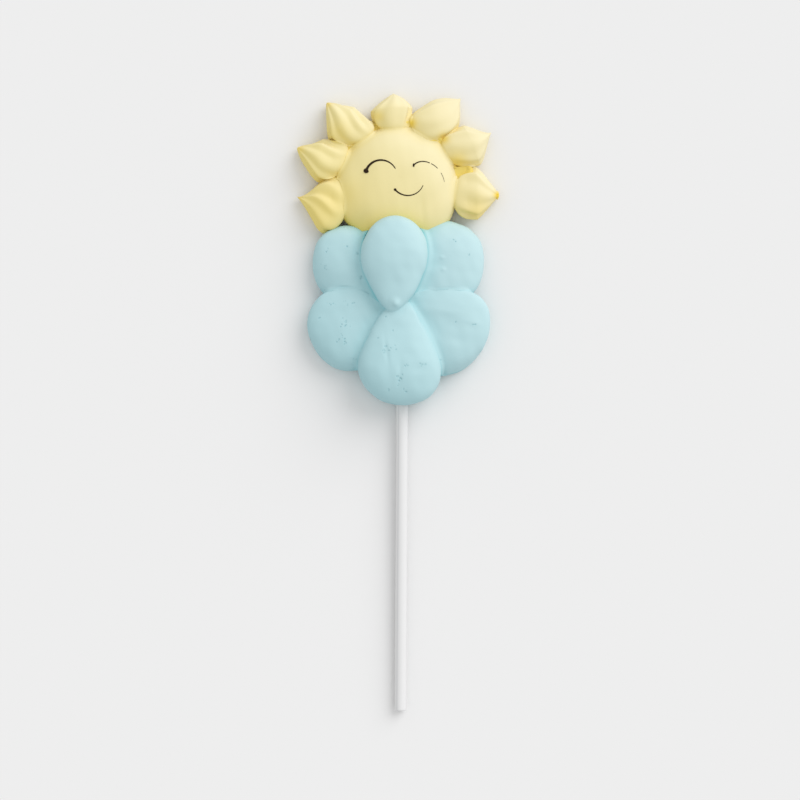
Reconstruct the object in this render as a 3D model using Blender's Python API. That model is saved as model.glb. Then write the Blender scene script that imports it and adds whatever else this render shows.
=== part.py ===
"""A sun behind a cloud, piped in marshmallow on a paper stick, lying face up.

+Y runs from the free end of the stick to the top ray, +X to the right as the smile is seen, and
+Z up out of the smile. The head and the tip of the stick rest on z = 0, and the origin lies there
under the middle of the whole. Sizes in the tables are millimetres, and the model is in metres.
"""
import math
from typing import NamedTuple

import bmesh
import bpy
import numpy as np

MM = 0.001

# Clearance left where two piped pieces, or the stick and a piece, meet.
GAP = 0.3 * MM

# The paper stick: a standard 4 x 150 mm, with 45 mm of it inside the head. It leans a little to
# the right and rises a little from the table on its way in, both in degrees.
STICK_DIAMETER = 4.0
STICK_TIP = (1.1, -105.5)
STICK_LENGTH = 150.0
STICK_LEAN = 0.35
STICK_RISE = 0.7
STICK_END_ROUND = 0.8
STICK_END_STEPS = 2
STICK_SIDES = 16

# The round face of the sun.
SUN_CENTRE = (0.0, 73.5)
SUN_RADIUS = 21.0
SUN_TOP = 12.5
SUN_BELLY = 3.5
SUN_SOLE = -2.0
SUN_SQUARENESS = 2.15
SUN_RINGS = 14
SUN_SIDES = 40

# The petals and rays share one way of being made, with these numbers of rings and sides.
PETAL_RINGS = 14
PETAL_SIDES = 24
RAY_RINGS = 12
RAY_SIDES = 32
RAY_RIDGES = 8

# How full a piped piece stays towards its two ends, above and below its widest level.
CROWN_FULLNESS = 0.7
SOLE_FULLNESS = 0.5

STROKE_RINGS = 14
STROKE_SIDES = 6


class Drop(NamedTuple):
    """One drop of the cloud, squeezed out at its round end and drawn off to its tail."""

    round_end: tuple
    tail: tuple
    width: float
    taper: float        # 0 is an even oval, 1 a teardrop, and more pulls the point out thin
    bow: float          # how far the middle leans to the left of the way to the tail
    top: float          # height of the crown
    belly: float        # height where the piece is widest
    tip: float          # height of the end of the tail
    sole: float         # how low the rounded underside reaches; the table flattens it at 0
    squareness: float   # 2 is a round section, and more gives a flat top with round shoulders
    lean: float         # how much higher its left rim lies than its middle, and its right lower


class Ray(NamedTuple):
    """One ray, placed round the middle of the sun: bearings in degrees, the rest millimetres."""

    root_bearing: float
    root_reach: float
    tip_bearing: float
    tip_reach: float
    width: float
    widest: float       # share of the way from the tip at which the ray is widest
    bulge: float        # 1 keeps its sides straight, and more rounds them outwards
    point: float        # 1 is a plain cone at the tip, and more draws it out thin
    bow: float
    top: float
    groove: float       # share of the section by which the star nozzle's grooves go in
    ridge_turn: float   # degrees by which the ridges are turned round the ray
    twist: float        # degrees by which they turn on from the tip to the root


class Stroke(NamedTuple):
    """One icing stroke of the face: part of a spiral, drawn from a fat start to a thin end."""

    centre: tuple
    start_radius: float
    end_radius: float
    start_bearing: float
    end_bearing: float
    start_width: float
    end_width: float


PETALS = {
    "bottom": Drop((2.8, -1.0), (1.4, 38.0), 28.2, 1.1, 1.7, 16.5, 7.0, 11.0, -2.5, 2.8, 0.0),
    "lower_left": Drop((-29.4, 21.0), (-2.9, 30.5), 29.0, 0.25, -0.3, 11.0, 3.6, 9.0, -2.5, 2.4, 2.4),
    "lower_right": Drop((28.4, 17.0), (1.3, 35.1), 30.8, 0.7, 0.0, 11.5, 3.8, 9.0, -2.5, 2.6, -2.6),
    "upper_left": Drop((-25.8, 56.3), (-1.6, 35.0), 27.0, 0.1, -0.4, 10.5, 4.0, 5.0, -2.5, 2.2, 0.5),
    "upper_right": Drop((26.0, 57.9), (1.5, 35.3), 29.0, 0.1, 0.5, 11.0, 4.0, 5.0, -2.5, 2.3, 0.0),
    "front": Drop((-0.6, 63.5), (-1.6, 30.5), 22.6, 0.62, 0.2, 19.0, 11.5, 12.5, 4.9, 2.3, 0.0),
}

# Clockwise from the lower left, as the smile is seen.
RAYS = (
    Ray(-163.3, 17.9, -175.0, 34.6, 19.1, 0.64, 1.73, 1.56, 1.8, 9.5, 0.12, 3.0, -80.0),
    Ray(146.7, 20.0, 158.4, 36.7, 14.5, 0.48, 1.16, 0.85, 3.1, 9.5, 0.12, 36.0, -80.0),
    Ray(116.6, 19.8, 129.7, 37.7, 14.1, 0.44, 1.00, 0.86, 2.6, 10.0, 0.12, 34.0, -80.0),
    Ray(90.5, 19.0, 92.2, 32.2, 14.8, 0.41, 1.21, 0.87, 1.5, 9.5, 0.08, 20.0, -40.0),
    Ray(72.0, 19.5, 54.6, 37.3, 14.0, 0.67, 3.33, 1.64, -1.2, 9.5, 0.06, 20.0, -40.0),
    Ray(37.3, 19.8, 30.3, 37.3, 14.4, 0.44, 1.32, 1.22, -1.5, 9.5, 0.06, 20.0, -40.0),
    Ray(-10.0, 19.5, -4.7, 34.9, 18.2, 0.49, 1.28, 1.14, 1.1, 9.5, 0.10, 22.0, -40.0),
)
RAY_BELLY = 3.0
RAY_TIP = 3.0
RAY_ROOT = 6.0          # height of its widest level at its inner end
RAY_SOLE = -2.0
RAY_SQUARENESS = 2.3
RAY_BLUNT = 2.5
CREST_BULGE = 2.0       # a ray's height rises from its tip by these, with no corner at the top
CREST_POINT = 1.3
CREST_BLUNT = 2.0
GROOVE_SHARPNESS = 1.8
GROOVE_FADE = 0.3       # share of the way over which the grooves fade out at the inner end

FACE = {
    "left_eye": Stroke((-5.9, 76.9), 4.9, 5.9, 158.0, 24.0, 1.0, 0.5),
    "right_eye": Stroke((6.7, 77.0), 3.5, 6.6, 103.0, 38.0, 0.8, 0.4),
    "mouth": Stroke((3.85, 75.9), 5.8, 5.4, 218.0, 338.0, 0.8, 0.5),
}

# Colours as seen on a screen, from 0 to 255.
SUN_YELLOW = (238, 226, 170)
CLOUD_BLUE = (184, 221, 225)
FACE_BROWN = (40, 28, 12)
PAPER_WHITE = (232, 233, 234)
ICING_ROUGHNESS = 0.35
MARSHMALLOW_ROUGHNESS = 0.75
PAPER_ROUGHNESS = 0.55


def clear_scene():
    """Start from an empty scene."""
    for thing in list(bpy.data.objects):
        bpy.data.objects.remove(thing, do_unlink=True)


def linear(channel):
    """A screen value from 0 to 255 as the linear light that a shader takes."""
    share = channel / 255.0
    return share / 12.92 if share <= 0.04045 else ((share + 0.055) / 1.055) ** 2.4


def plain_material(name, colour, roughness):
    """A non-metallic material of one colour."""
    material = bpy.data.materials.new(name)
    material.use_nodes = True
    shader = material.node_tree.nodes["Principled BSDF"]
    shader.inputs["Base Color"].default_value = (*map(linear, colour), 1.0)
    shader.inputs["Roughness"].default_value = roughness
    shader.inputs["Metallic"].default_value = 0.0
    return material


def add_object(name, mesh, *materials):
    """Put a mesh into the scene under a name, shaded smooth, with its materials."""
    mesh.shade_smooth()
    for material in materials:
        mesh.materials.append(material)
    thing = bpy.data.objects.new(name, mesh)
    bpy.context.collection.objects.link(thing)
    return thing


def capped_mesh(name, rings):
    """A closed mesh over rings of points, whose first and last rings each shrink to one point."""
    count, sides = rings.shape[:2]
    points = [rings[0, 0], *rings[1:-1].reshape(-1, 3), rings[-1, 0]]
    last = len(points) - 1
    row = [[1 + ring * sides + side for side in range(sides)] for ring in range(count - 2)]
    faces = []
    for side in range(sides):
        after = (side + 1) % sides
        faces.append((0, row[0][side], row[0][after]))
        faces.append((last, row[-1][after], row[-1][side]))
        for near, far in zip(row, row[1:]):
            faces.append((near[side], far[side], far[after], near[after]))
    mesh = bpy.data.meshes.new(name)
    mesh.from_pydata([tuple(point) for point in points], [], faces)
    face_out(mesh)
    return mesh


def face_out(mesh):
    """Turn every face of a closed mesh outwards."""
    work = bmesh.new()
    work.from_mesh(mesh)
    bmesh.ops.recalc_face_normals(work, faces=work.faces)
    work.to_mesh(mesh)
    work.free()


def ring_places(ring_count):
    """Share of the way from the tail at which each ring lies, closer together at both ends."""
    stations = np.linspace(0.0, math.pi, ring_count + 1)
    return (1.0 - np.cos(stations))[:, None] / 2.0


def drop_girth(along, taper):
    """Share of a drop's width at each share of the way from its tail.

    It is sqrt(u * (1 - u)) * u ** (taper / 2), divided by its own greatest value.
    """
    fattest = (1.0 + taper) / (2.0 + taper)
    greatest = math.sqrt(fattest * (1.0 - fattest)) * fattest ** (taper / 2.0)
    return np.sqrt(np.clip(along * (1.0 - along), 0.0, 1.0)) * along ** (taper / 2.0) / greatest


def ray_girth(along, widest, bulge, point, blunt):
    """Share of a ray's width or height at each share of the way from its tip.

    It is (1 - (1 - u / widest) ** bulge) ** point up to the widest place, and from there a
    quarter of a superellipse: the blunter, the fuller the inner end.
    """
    outer = np.clip(along / widest, 0.0, 1.0)
    inner = np.clip((along - widest) / (1.0 - widest), 0.0, 1.0)
    rising = (1.0 - (1.0 - outer) ** bulge) ** point
    return np.where(along < widest, rising, (1.0 - inner ** blunt) ** (1.0 / blunt))


def rounded_section(angles, squareness):
    """Distance of a unit superellipse from its middle, at each angle round it."""
    power = np.abs(np.cos(angles)) ** squareness + np.abs(np.sin(angles)) ** squareness
    return power ** (-1.0 / squareness)


def piped_rings(piece, root, along, angles, girth, crown, ridges):
    """Rings of points, in metres, over a piped piece.

    Each ring is a superellipse across the way from the tail to the round end, at whose end the
    widest level is at the height of the root. The half width follows the girth, the heights
    above and below the widest level follow powers of the crown and the girth, and what would
    reach below the table is pressed flat on it.
    """
    tail, round_end = np.array(piece.tail), np.array(piece.round_end)
    run = tail - round_end
    length = np.linalg.norm(run)
    forward = run / length
    left = np.array((-forward[1], forward[0]))
    section = rounded_section(angles, piece.squareness) * ridges

    bend = (piece.tip - piece.belly) * (1.0 - along) ** 1.5 + (root - piece.belly) * along ** 3
    lean = piece.lean * np.clip(section * np.cos(angles), -1.0, 1.0)
    level = piece.belly + bend + lean
    above = (piece.top - level) * crown ** CROWN_FULLNESS
    below = (level - piece.sole) * girth ** SOLE_FULLNESS
    rise = np.where(np.sin(angles) > 0.0, above, below)
    height = np.maximum(level + rise * section * np.sin(angles), 0.0)

    aside = piece.width / 2.0 * girth * section * np.cos(angles)
    aside = aside + piece.bow * 4.0 * along * (1.0 - along)
    ahead = length * (0.5 - along)
    middle = (tail + round_end) / 2.0
    x = middle[0] + ahead * forward[0] + aside * left[0]
    y = middle[1] + ahead * forward[1] + aside * left[1]
    return np.stack((x, y, height), axis=-1) * MM


def even_angles(count):
    """Angles round a section, all the same way apart."""
    return np.linspace(0.0, 2.0 * math.pi, count, endpoint=False)[None, :]


def drop_piece(name, drop, material):
    """One drop of the cloud."""
    along = ring_places(PETAL_RINGS)
    share = np.clip(drop_girth(along, drop.taper), 0.0, 1.0)
    rings = piped_rings(drop, drop.belly, along, even_angles(PETAL_SIDES), share, share, 1.0)
    return add_object(name, capped_mesh(name, rings), material)


def round_the_sun(bearing, reach):
    """The point at a bearing, in degrees, and a distance from the middle of the sun."""
    angle = math.radians(bearing)
    return (SUN_CENTRE[0] + reach * math.cos(angle), SUN_CENTRE[1] + reach * math.sin(angle))


def ray_piece(number, ray, material):
    """One ray of the sun, piped through a star nozzle and drawn off to a point.

    Its corners turn with the grooves, which go in by |sin(ridges * x / 2)| ** sharpness.
    """
    shape = Drop(round_the_sun(ray.root_bearing, ray.root_reach),
                 round_the_sun(ray.tip_bearing, ray.tip_reach), ray.width, 0.0, ray.bow, ray.top,
                 RAY_BELLY, RAY_TIP, RAY_SOLE, RAY_SQUARENESS, 0.0)
    along = ring_places(RAY_RINGS)
    even = even_angles(RAY_SIDES)
    turn = math.radians(ray.ridge_turn) + math.radians(ray.twist) * along
    grooves = np.abs(np.sin(RAY_RIDGES * even / 2.0)) ** GROOVE_SHARPNESS
    ridges = 1.0 - ray.groove * np.clip((1.0 - along) / GROOVE_FADE, 0.0, 1.0) * grooves
    girth = ray_girth(along, ray.widest, ray.bulge, ray.point, RAY_BLUNT)
    crown = ray_girth(along, ray.widest, CREST_BULGE, max(CREST_POINT, ray.point), CREST_BLUNT)
    rings = piped_rings(shape, RAY_ROOT, along, even + turn, girth, crown, ridges)
    name = f"ray_{number}"
    return add_object(name, capped_mesh(name, rings), material)


def sun_height(x, y):
    """Height of the sun's face, in millimetres, above a point of the table."""
    away = math.hypot(x - SUN_CENTRE[0], y - SUN_CENTRE[1]) / SUN_RADIUS
    share = (1.0 - away ** SUN_SQUARENESS) ** (1.0 / SUN_SQUARENESS)
    return SUN_BELLY + (SUN_TOP - SUN_BELLY) * share


def sun_mesh():
    """The round face as a flattened dome that the table presses flat underneath.

    Going down from the crown, the distance from the middle and the height follow one
    superellipse, which is deeper above the belly than below it.
    """
    down = np.linspace(0.0, math.pi, SUN_RINGS + 1)[:, None]
    bearing = np.linspace(0.0, 2.0 * math.pi, SUN_SIDES, endpoint=False)[None, :]
    section = rounded_section(down, SUN_SQUARENESS)
    away = SUN_RADIUS * section * np.sin(down)
    rise = np.where(np.cos(down) > 0.0, SUN_TOP - SUN_BELLY, SUN_BELLY - SUN_SOLE)
    height = np.maximum(SUN_BELLY + rise * section * np.cos(down), 0.0)
    x = SUN_CENTRE[0] + away * np.cos(bearing)
    y = SUN_CENTRE[1] + away * np.sin(bearing)
    rings = np.stack((x, y, np.broadcast_to(height, x.shape)), axis=-1) * MM
    return capped_mesh("sun_disc", rings)


def stroke_mesh(name, stroke):
    """An icing stroke as a round bead, sunk to half its width in the sun's face."""
    rings = []
    for step in range(STROKE_RINGS + 1):
        done = step / STROKE_RINGS
        bearing = stroke.start_bearing + (stroke.end_bearing - stroke.start_bearing) * done
        away = stroke.start_radius + (stroke.end_radius - stroke.start_radius) * done
        angle = math.radians(bearing)
        outward = np.array((math.cos(angle), math.sin(angle), 0.0))
        x = stroke.centre[0] + away * outward[0]
        y = stroke.centre[1] + away * outward[1]
        middle = np.array((x, y, sun_height(x, y)))
        width = stroke.start_width + (stroke.end_width - stroke.start_width) * done
        radius = 0.0 if step in (0, STROKE_RINGS) else width / 2.0
        round_bead = np.linspace(0.0, 2.0 * math.pi, STROKE_SIDES, endpoint=False)[:, None]
        up = np.array((0.0, 0.0, 1.0))
        rings.append(middle + radius * (np.cos(round_bead) * outward + np.sin(round_bead) * up))
    return capped_mesh(name, np.array(rings) * MM)


def fuse_strokes(disc, icing):
    """Join the strokes of the face to the disc as one solid, with the icing's own colour."""
    strokes = bpy.data.collections.new("face_strokes")
    bpy.context.scene.collection.children.link(strokes)
    for name, stroke in FACE.items():
        bead = add_object(name, stroke_mesh(name, stroke), icing)
        bpy.context.collection.objects.unlink(bead)
        strokes.objects.link(bead)
    union = disc.modifiers.new("face", "BOOLEAN")
    union.operation = "UNION"
    union.operand_type = "COLLECTION"
    union.collection = strokes
    union.solver = "EXACT"
    union.material_mode = "TRANSFER"
    shaped = disc.evaluated_get(bpy.context.evaluated_depsgraph_get())
    disc.data = bpy.data.meshes.new_from_object(shaped)
    disc.modifiers.clear()
    for bead in list(strokes.objects):
        bpy.data.objects.remove(bead, do_unlink=True)
    bpy.data.collections.remove(strokes)


def stick_profile():
    """Distance along the stick and radius of each ring, with both ends rounded at the rim."""
    radius = STICK_DIAMETER / 2.0
    near_end = [(0.0, 0.0)]
    for step in range(STICK_END_STEPS + 1):
        angle = math.pi / 2.0 * step / STICK_END_STEPS
        inset = STICK_END_ROUND * (1.0 - math.cos(angle))
        near_end.append((inset, radius - STICK_END_ROUND * (1.0 - math.sin(angle))))
    far_end = [(STICK_LENGTH - inset, ring_radius) for inset, ring_radius in reversed(near_end)]
    return near_end + far_end


def stick_piece(material):
    """The paper stick, which rises a little from its tip on the table into the head."""
    lean, rise = math.radians(STICK_LEAN), math.radians(STICK_RISE)
    along = np.array((math.sin(lean) * math.cos(rise), math.cos(lean) * math.cos(rise),
                      math.sin(rise)))
    side = np.array((math.cos(lean), -math.sin(lean), 0.0))
    up = np.cross(side, along)
    tip = np.array((*STICK_TIP, STICK_DIAMETER / 2.0))
    turn = np.linspace(0.0, 2.0 * math.pi, STICK_SIDES, endpoint=False)[:, None]
    around = np.cos(turn) * side + np.sin(turn) * up
    rings = [tip + distance * along + radius * around for distance, radius in stick_profile()]
    return add_object("stick", capped_mesh("stick", np.array(rings) * MM), material)


def cutter_for(piece):
    """A copy of a piece, thicker by the clearance all over, to cut its neighbours with."""
    cutter = bpy.data.objects.new(f"clear_of_{piece.name}", piece.data)
    bpy.context.collection.objects.link(cutter)
    cutter.hide_render = True
    cutter.display_type = "WIRE"
    swell = cutter.modifiers.new("clearance", "DISPLACE")
    swell.direction = "NORMAL"
    swell.strength = GAP
    swell.mid_level = 0.0
    return cutter


def boxes_meet(one, other):
    """Whether the boxes round two objects overlap once the clearance is added."""
    corners = [np.array([corner[:] for corner in thing.bound_box]) for thing in (one, other)]
    low = np.maximum(corners[0].min(axis=0), corners[1].min(axis=0))
    high = np.minimum(corners[0].max(axis=0), corners[1].max(axis=0))
    return bool(np.all(low - GAP < high + GAP))


def fit_together(pieces):
    """Shape each piece round the ones that were there before it, in the order of piping."""
    cutters = [cutter_for(piece) for piece in pieces]
    for place, piece in enumerate(pieces):
        for earlier, cutter in zip(pieces[:place], cutters):
            if boxes_meet(piece, earlier):
                cut = piece.modifiers.new(f"round_{earlier.name}", "BOOLEAN")
                cut.operation = "DIFFERENCE"
                cut.solver = "EXACT"
                cut.object = cutter


def build():
    """Make the lollipop."""
    clear_scene()
    sun = plain_material("sun_marshmallow", SUN_YELLOW, MARSHMALLOW_ROUGHNESS)
    cloud = plain_material("cloud_marshmallow", CLOUD_BLUE, MARSHMALLOW_ROUGHNESS)
    icing = plain_material("face_icing", FACE_BROWN, ICING_ROUGHNESS)
    paper = plain_material("stick_paper", PAPER_WHITE, PAPER_ROUGHNESS)

    disc = add_object("sun_disc", sun_mesh(), sun)
    stick = stick_piece(paper)
    rays = [ray_piece(number, ray, sun) for number, ray in enumerate(RAYS, start=1)]
    petals = [drop_piece(f"drop_{name}", petal, cloud) for name, petal in PETALS.items()]
    fit_together([disc, stick, *rays, *petals])
    fuse_strokes(disc, icing)


build()
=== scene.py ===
"""The looks of a piped marshmallow lollipop: a smiling sun behind a cloud, on a paper stick.

Every food piece is a fine closed surface worked out on a grid, which replaces its plain solid.
+Y runs from the stick's free end to the top ray, +X to the right of the smile and +Z up out of
it. Sizes are in millimetres until a mesh is made, which is in metres. Bearings are in degrees,
counterclockwise from +X as seen from above.
"""
import math
from typing import Callable, NamedTuple

import bpy
import numpy as np
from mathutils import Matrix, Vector


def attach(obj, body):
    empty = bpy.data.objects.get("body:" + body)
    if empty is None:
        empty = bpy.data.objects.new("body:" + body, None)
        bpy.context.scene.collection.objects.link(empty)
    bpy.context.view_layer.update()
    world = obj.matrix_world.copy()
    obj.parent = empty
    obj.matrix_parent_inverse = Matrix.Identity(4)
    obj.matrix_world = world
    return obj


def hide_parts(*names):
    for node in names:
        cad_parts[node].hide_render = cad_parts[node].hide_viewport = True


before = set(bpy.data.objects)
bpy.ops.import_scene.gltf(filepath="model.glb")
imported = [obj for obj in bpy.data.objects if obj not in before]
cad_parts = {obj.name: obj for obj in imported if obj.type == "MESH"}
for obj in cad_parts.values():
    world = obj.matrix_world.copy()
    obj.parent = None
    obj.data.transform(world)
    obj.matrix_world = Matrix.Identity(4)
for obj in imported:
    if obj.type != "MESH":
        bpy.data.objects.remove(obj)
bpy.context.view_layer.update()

MM = 0.001
BODY = "root"
ICING_SLOT = "face_icing"
PAPER_SLOT = "stick_paper"

# The sun's round face.
SUN_CENTRE = (0.0, 73.5)
SUN_RADIUS = 21.0
SUN_TOP = 12.5
SUN_BELLY = 3.5
SUN_SOLE = -2.0
SUN_SQUARENESS = 2.15

# How full a piped piece stays towards its two ends, above and below its widest level, and the
# powers by which that level bends towards the tip and the root.
CROWN_FULLNESS = 0.7
SOLE_FULLNESS = 0.5
TIP_BEND = 1.5
ROOT_BEND = 3


class Drop(NamedTuple):
    """One drop of the cloud, squeezed out at its round end and drawn off to its tail."""

    round_end: tuple
    tail: tuple
    width: float
    taper: float        # 0 is an even oval, 1 a teardrop, and more pulls the point out thin
    bow: float          # how far the middle leans to the left of the way to the tail
    top: float          # height of the crown
    belly: float        # height where the piece is widest
    tip: float          # height of the end of the tail
    sole: float         # how low the rounded underside reaches; the table flattens it at 0
    squareness: float   # 2 is a round section, and more gives a flat top with round shoulders
    lean: float         # how much higher its left rim lies than its middle, and its right lower


DROPS = {
    "bottom": Drop((2.8, -1.0), (1.4, 38.0), 28.2, 1.1, 1.7, 16.5, 7.0, 11.0, -2.5, 2.8, 0.0),
    "lower_left": Drop((-29.4, 21.0), (-2.9, 30.5), 29.0, 0.25, -0.3, 11.0, 3.6, 9.0, -2.5, 2.4, 2.4),
    "lower_right": Drop((28.4, 17.0), (1.3, 35.1), 30.8, 0.7, 0.0, 11.5, 3.8, 9.0, -2.5, 2.6, -2.6),
    "upper_left": Drop((-25.8, 56.3), (-1.6, 35.0), 27.0, 0.1, -0.4, 10.5, 4.0, 5.0, -2.5, 2.2, 0.5),
    "upper_right": Drop((26.0, 57.9), (1.5, 35.3), 29.0, 0.1, 0.5, 11.0, 4.0, 5.0, -2.5, 2.3, 0.0),
    "front": Drop((-0.6, 63.5), (-1.6, 30.5), 22.6, 0.62, 0.2, 19.0, 11.5, 12.5, 4.9, 2.3, 0.0),
}


class Ray(NamedTuple):
    """One ray, placed round the middle of the sun."""

    root_bearing: float
    root_reach: float
    tip_bearing: float
    tip_reach: float
    width: float
    widest: float       # share of the way from the tip at which the ray is widest
    bulge: float        # 1 keeps its sides straight, and more rounds them outwards
    point: float        # 1 is a plain cone at the tip, and more draws it out thin
    bow: float
    top: float
    groove: float       # share of the section by which the star nozzle's grooves go in
    ridge_turn: float   # degrees by which the ridges are turned round the ray
    twist: float        # degrees by which they turn on from the tip to the root
    bead: float         # radius of a bead left at the tip


# Clockwise from the lower left, as the smile is seen.
RAYS = (
    Ray(-163.3, 17.9, -175.0, 34.6, 19.1, 0.64, 1.73, 1.56, 1.8, 9.5, 0.12, 3.0, -80.0, 0.0),
    Ray(146.7, 20.0, 158.4, 36.7, 14.5, 0.48, 1.16, 0.85, 3.1, 9.5, 0.12, 36.0, -80.0, 0.0),
    Ray(116.6, 19.8, 129.7, 37.7, 14.1, 0.44, 1.00, 0.86, 2.6, 10.0, 0.12, 34.0, -80.0, 0.0),
    Ray(90.5, 19.0, 92.2, 32.2, 14.8, 0.41, 1.21, 0.87, 1.5, 9.5, 0.08, 20.0, -40.0, 0.0),
    Ray(72.0, 19.5, 54.6, 37.3, 14.0, 0.67, 3.33, 1.64, -1.2, 9.5, 0.06, 20.0, -40.0, 0.0),
    Ray(37.3, 19.8, 30.3, 37.3, 14.4, 0.44, 1.32, 1.22, -1.5, 9.5, 0.06, 20.0, -40.0, 0.0),
    Ray(-10.0, 19.5, -4.7, 34.9, 18.2, 0.49, 1.28, 1.14, 1.1, 9.5, 0.10, 22.0, -40.0, 0.8),
)
RAY_BELLY = 3.0
RAY_TIP = 3.0
RAY_ROOT = 6.0
RAY_SOLE = -2.0
RAY_SQUARENESS = 2.3
RAY_BLUNT = 2.5
CREST_BULGE = 2.0       # a ray's height rises from its tip by these, with no corner at the top
CREST_POINT = 1.3
CREST_BLUNT = 2.0
RAY_RIDGES = 8
GROOVE_SHARPNESS = 1.8
GROOVE_UNEVENNESS = 0.5
GROOVE_WAVES = 3        # how often round the ray its grooves are deeper and shallower
GROOVE_FADE = 0.3       # share of the way over which the grooves fade out at the inner end
BEAD_PLACE = 0.028      # share of the way from the tip, as is the bead's spread
BEAD_SPREAD = 0.018

# Fineness of the grids: rings from tail to round end, and sides round each ring.
DROP_GRID = (250, 330)
RAY_GRID = (150, 260)
SUN_GRID = (190, 480)
BED_GRID = (90, 360)
TOP_SIDE_SHARE = 0.5    # how much closer together the sides lie on top than underneath
UPPER_RAMP = 6.0        # how fast an underside goes over into the upper side at the rim
RIM_STATIONS = 160      # points along each side of a rim
RIM_REACH = 8.0         # distances from a rim are worked out this far
END_MARGIN = 0.0005     # share of the way left out at each end, where the girth is 0
TINY = 1e-9             # a step shorter than this has no direction


class Overlap(NamedTuple):
    """One piece that lies over another and has pressed it down along its rim."""

    over: str
    under: str
    shoulder: float     # how far from the rim the lower piece comes back to its own height
    sink: float         # how far below the rim the crease lies


OVERLAPS = (
    Overlap("drop_front", "drop_upper_left", 6.0, 3.6),
    Overlap("drop_front", "drop_upper_right", 2.5, 1.6),
    Overlap("drop_front", "drop_lower_left", 3.0, 2.6),
    Overlap("drop_front", "drop_lower_right", 2.0, 1.4),
    Overlap("drop_lower_left", "drop_upper_left", 4.0, -0.3),
    Overlap("drop_lower_right", "drop_upper_right", 4.0, -0.3),
)
PRESS_SOFTNESS = 0.8
PRESS_HEADROOM = 1.5    # how far above the lower piece's crown the shoulder ends
FAR = 1000.0            # a height that presses nothing

# The valleys between pieces of one colour, which have set into each other.
SKIRT = 2.5             # how steeply a valley's side comes down from the rim of the higher piece
HEM = 1.0               # how far a raised valley runs on under that piece, and how steeply down
HEM_SLOPE = 6.0
UPRIGHT = 0.6           # raised this far, the skin waves straight up and down
MELT_FULL = 4.5         # a valley filled this deep has the deepest painted shade


class Family(NamedTuple):
    """The pieces of one colour, and the bed of marshmallow that has run together between them."""

    slot: str
    colours: tuple      # pale for painted light, plain, painted shade in hollows and painted shade in pores, as seen on a screen
    middle: tuple
    melt: float         # how far the valleys between its pieces are rounded
    wave_seed: int      # the same waves run on over all its pieces
    bed_node: str       # the node that the bed replaces, with that node's own piece
    bed_reach: float    # the bed's radius
    bed_lobes: tuple    # where it reaches out farther: bearing, half its breadth, and radius there
    bed_least: float    # height that it keeps where it reaches out between two pieces
    bed_sink: float     # how far it lies below its family's blurred tops


# Each family's pale colour is painted light and its hollow and pore colours are painted shade; the
# plain one is its own colour.
FAMILIES = {
    "sun": Family(
        slot="sun_marshmallow",
        colours=((232, 223, 186), (230, 213, 128), (232, 200, 60), (225, 190, 80)),
        middle=SUN_CENTRE, melt=0.8, wave_seed=4, bed_node="sun_disc", bed_reach=20.0,
        bed_lobes=((94.0, 88.0, 23.8), (13.5, 5.5, 27.2)), bed_least=5.2, bed_sink=0.45),
    "cloud": Family(
        slot="cloud_marshmallow",
        colours=((185, 215, 219), (163, 203, 209), (105, 186, 194), (138, 184, 191)),
        middle=(0.0, 33.0), melt=0.9, wave_seed=3, bed_node="drop_bottom", bed_reach=22.0,
        bed_lobes=(), bed_least=0.0, bed_sink=0.6),
}
BED_VALLEY = 0.5        # depth of a valley in which it comes up, and by what share of its sink
BED_RISE = 0.8
BED_ROUNDING = 1.5      # how broadly its edge is rounded
BED_DEPTH = 0.4         # how deep coloured it is, as painted shade
BED_SOLE = 0.3          # height of its underside, so that the pieces' own soles show from below

# A hand-piped skin's unevenness: the length of each wave, and its height.
WAVES = ((18.0, 0.11), (9.0, 0.04), (4.5, 0.012))
WAVE_DIRECTIONS = 6
CALM_RINGS = 10         # the waves fade out over this many rings at each end of a piece


class Lump(NamedTuple):
    """A soft lump, or a dent where its height is less than 0, on the upper side of a piece."""

    x: float
    y: float
    long: float         # half its length, which lies at the turn from +X, in degrees
    wide: float
    turn: float
    height: float


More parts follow.
